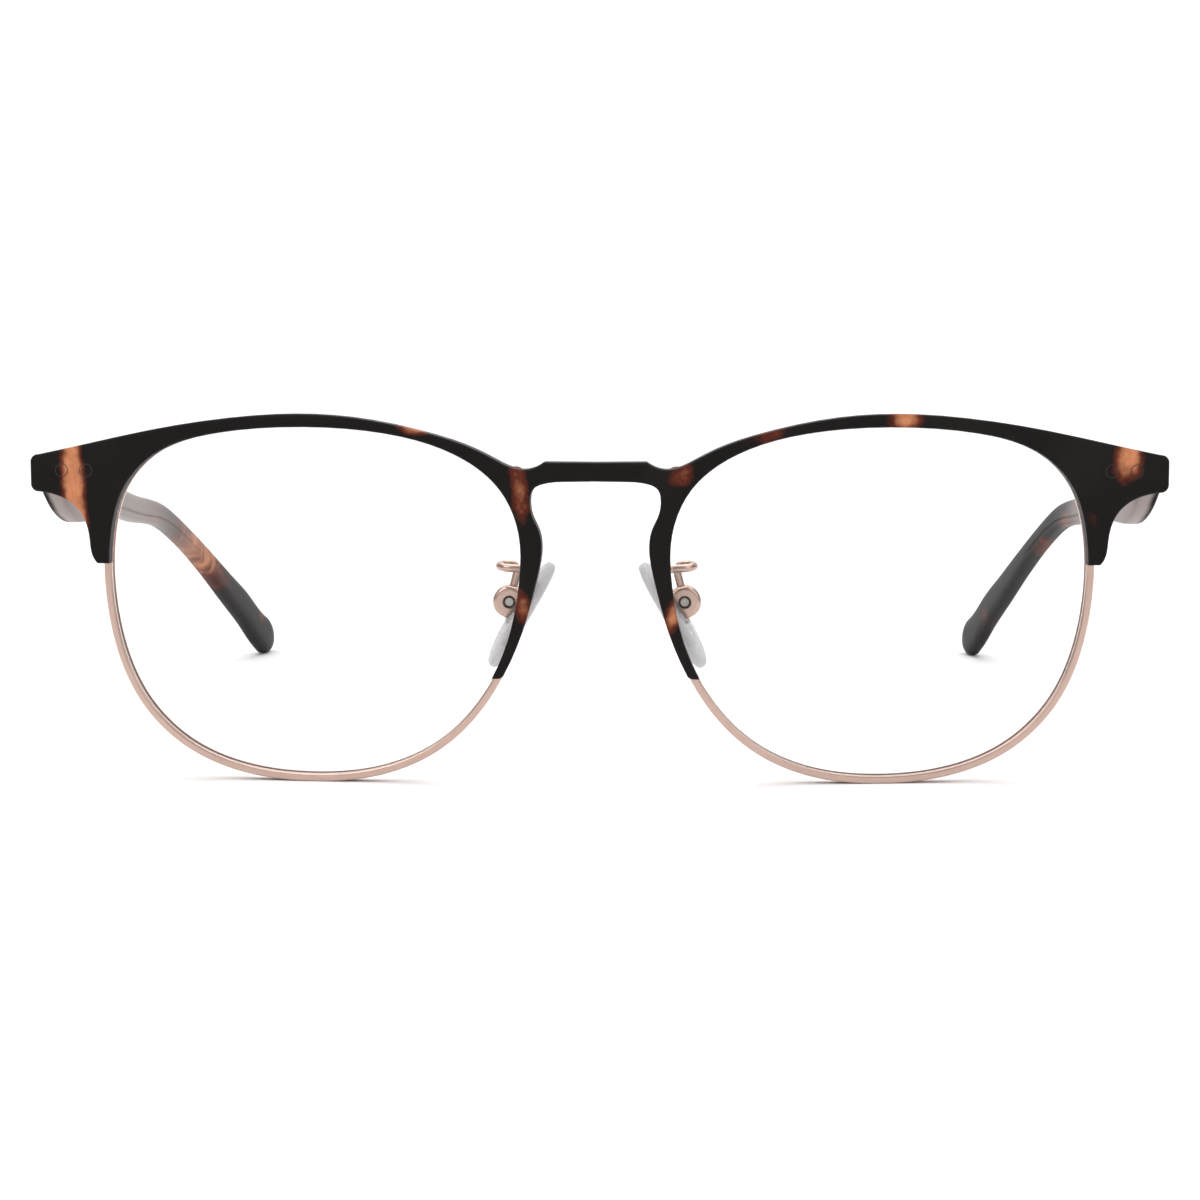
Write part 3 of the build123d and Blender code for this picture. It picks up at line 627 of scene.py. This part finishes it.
class LensOperator(bpy.types.Operator):
    """Make the lenses clear"""
    bl_idname = "spectacles.lenses"
    bl_label = "Lenses"

    def execute(self, context):
        clear = clear_lens()
        for side, _ in SIDES:
            dress("lens_" + side, clear)
        return {"FINISHED"}


class PadOperator(bpy.types.Operator):
    """Make the silicone nose pads round their inserts"""
    bl_idname = "spectacles.pads"
    bl_label = "Nose pads"

    def execute(self, context):
        skin = silicone()
        for side, sign in SIDES:
            piece = make_mesh("silicone_pad_" + side, *pad_surface(sign))
            piece.data.materials.append(skin)
            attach(piece, "pad_" + side)
            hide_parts("nose_pad_" + side)
            dress("pad_insert_" + side, skin)
        return {"FINISHED"}


class TempleOperator(bpy.types.Operator):
    """Make the polished tortoise temples"""
    bl_idname = "spectacles.temples"
    bl_label = "Temples"

    def execute(self, context):
        for side, sign in SIDES:
            piece = make_mesh("acetate_temple_" + side, *temple_surface(sign))
            piece.data.materials.append(acetate(
                "polished_tortoise_" + side, TEMPLE_PATCHES[side], roughness=0.34, level=0.02,
                haze_end=HAZE_ENDS[side]))
            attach(piece, "temple_" + side)
            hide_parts("temple_" + side)
        return {"FINISHED"}


FLOOR = {"width": 4.0, "near": -2.5, "far": 0.9, "height": 1.6, "bend": 0.3}      # metres
WORLD_STRENGTH = 0.42
LIGHTS = (      # name, place, diameter in metres and power in watts
    ("overhead", (0.0, 0.3, 1.3), 1.7, 17.0),
    ("key", (-0.6, -0.7, 0.8), 0.8, 5.0),
    ("fill", (0.7, -0.6, 0.6), 0.8, 3.0),
)
LIGHT_AIM = (0, 0.1, 0.02)
LENS, SENSOR = 72.25, 36.0      # millimetres
CAMERA_PLACE = (0.008, FRONT_Y - 0.290, 0.051)
CAMERA_AIM = (0.00058, FRONT_Y, 0.023)


def floor_surface(width, near, far, height, bend):
    """Floor that turns up into a backdrop: a straight run, a quarter circle of radius bend, and an upright run,
    carried straight across."""
    turn = np.linspace(0, math.pi / 2, 24)
    y = np.concatenate([[near], far + bend * np.sin(turn), [far + bend]])
    z = np.concatenate([[0.0], bend * (1 - np.cos(turn)), [height]])
    x = np.array([-width / 2, width / 2])
    points = np.stack([np.repeat(x, len(y)), np.tile(y, 2), np.tile(z, 2)], axis=-1)
    i = np.arange(len(y) - 1)
    quads = np.stack([i, i + len(y), i + len(y) + 1, i + 1], axis=-1)
    return points, quads


def point_at(thing, place, aim):
    """Put a lamp or camera at a place, facing another."""
    thing.location = place
    way = Vector(aim) - thing.location
    thing.rotation_euler = way.to_track_quat("-Z", "Y").to_euler()


class StageOperator(bpy.types.Operator):
    """Set the plain floor, the soft lights and the camera"""
    bl_idname = "spectacles.stage"
    bl_label = "Stage"

    def execute(self, context):
        scene = context.scene
        points, quads = floor_surface(**FLOOR)
        floor = make_mesh("floor", points, quads, np.zeros((0, 3), int))
        shade = Shade("pale_floor")
        tint = colours().floor[:]
        cloud = shade.noise(3.0, 2.0)
        shade.surface(Base_Color=shade.mix(cloud * 0.2, tint, scaled(tint, 0.99)),
                      Roughness=0.9, Specular_IOR_Level=0.1)
        floor.data.materials.append(shade.material)
        world = bpy.data.worlds.new("studio")
        scene.world = world
        world.use_nodes = True
        sky = world.node_tree.nodes["Background"].inputs
        sky["Color"].default_value = (1.0, 1.0, 1.0, 1.0)
        sky["Strength"].default_value = WORLD_STRENGTH
        for name, place, size, power in LIGHTS:
            data = bpy.data.lights.new(name, "AREA")
            data.shape = "DISK"
            data.size = size
            data.energy = power
            lamp = bpy.data.objects.new(name, data)
            point_at(lamp, place, LIGHT_AIM)
            scene.collection.objects.link(lamp)
        scene.view_settings.view_transform = "Standard"
        data = bpy.data.cameras.new("camera")
        data.lens = LENS
        data.sensor_width = SENSOR
        data.clip_start = 0.01
        camera = bpy.data.objects.new("camera", data)
        point_at(camera, CAMERA_PLACE, CAMERA_AIM)
        scene.collection.objects.link(camera)
        scene.camera = camera
        return {"FINISHED"}


class SpectaclePanel(bpy.types.Panel):
    """The spectacles' pieces, sizes and colours"""
    bl_idname = "VIEW3D_PT_spectacles"
    bl_label = "Spectacles"
    bl_space_type = "VIEW_3D"
    bl_region_type = "UI"
    bl_category = "Spectacles"

    def draw(self, context):
        for operator in OPERATORS:
            self.layout.operator(operator.bl_idname)
        for group in (context.scene.spectacle_sizes, context.scene.spectacle_colours):
            for name in group.__annotations__:
                self.layout.prop(group, name)


OPERATORS = (StageOperator, BrowOperator, MetalOperator, LensOperator, PadOperator, TempleOperator)
CLASSES = (SpectacleSizes, SpectacleColours) + OPERATORS + (SpectaclePanel,)


def register():
    """Add the classes and the scene's two groups."""
    for cls in CLASSES:
        bpy.utils.register_class(cls)
    bpy.types.Scene.spectacle_sizes = PointerProperty(type=SpectacleSizes)
    bpy.types.Scene.spectacle_colours = PointerProperty(type=SpectacleColours)


def unregister():
    """Take them away again."""
    del bpy.types.Scene.spectacle_colours
    del bpy.types.Scene.spectacle_sizes
    for cls in reversed(CLASSES):
        bpy.utils.unregister_class(cls)


def main():
    """Build everything in order."""
    register()
    bpy.ops.spectacles.stage()
    bpy.ops.spectacles.brow()
    bpy.ops.spectacles.metal()
    bpy.ops.spectacles.lenses()
    bpy.ops.spectacles.pads()
    bpy.ops.spectacles.temples()


if __name__ == "__main__":
    main()
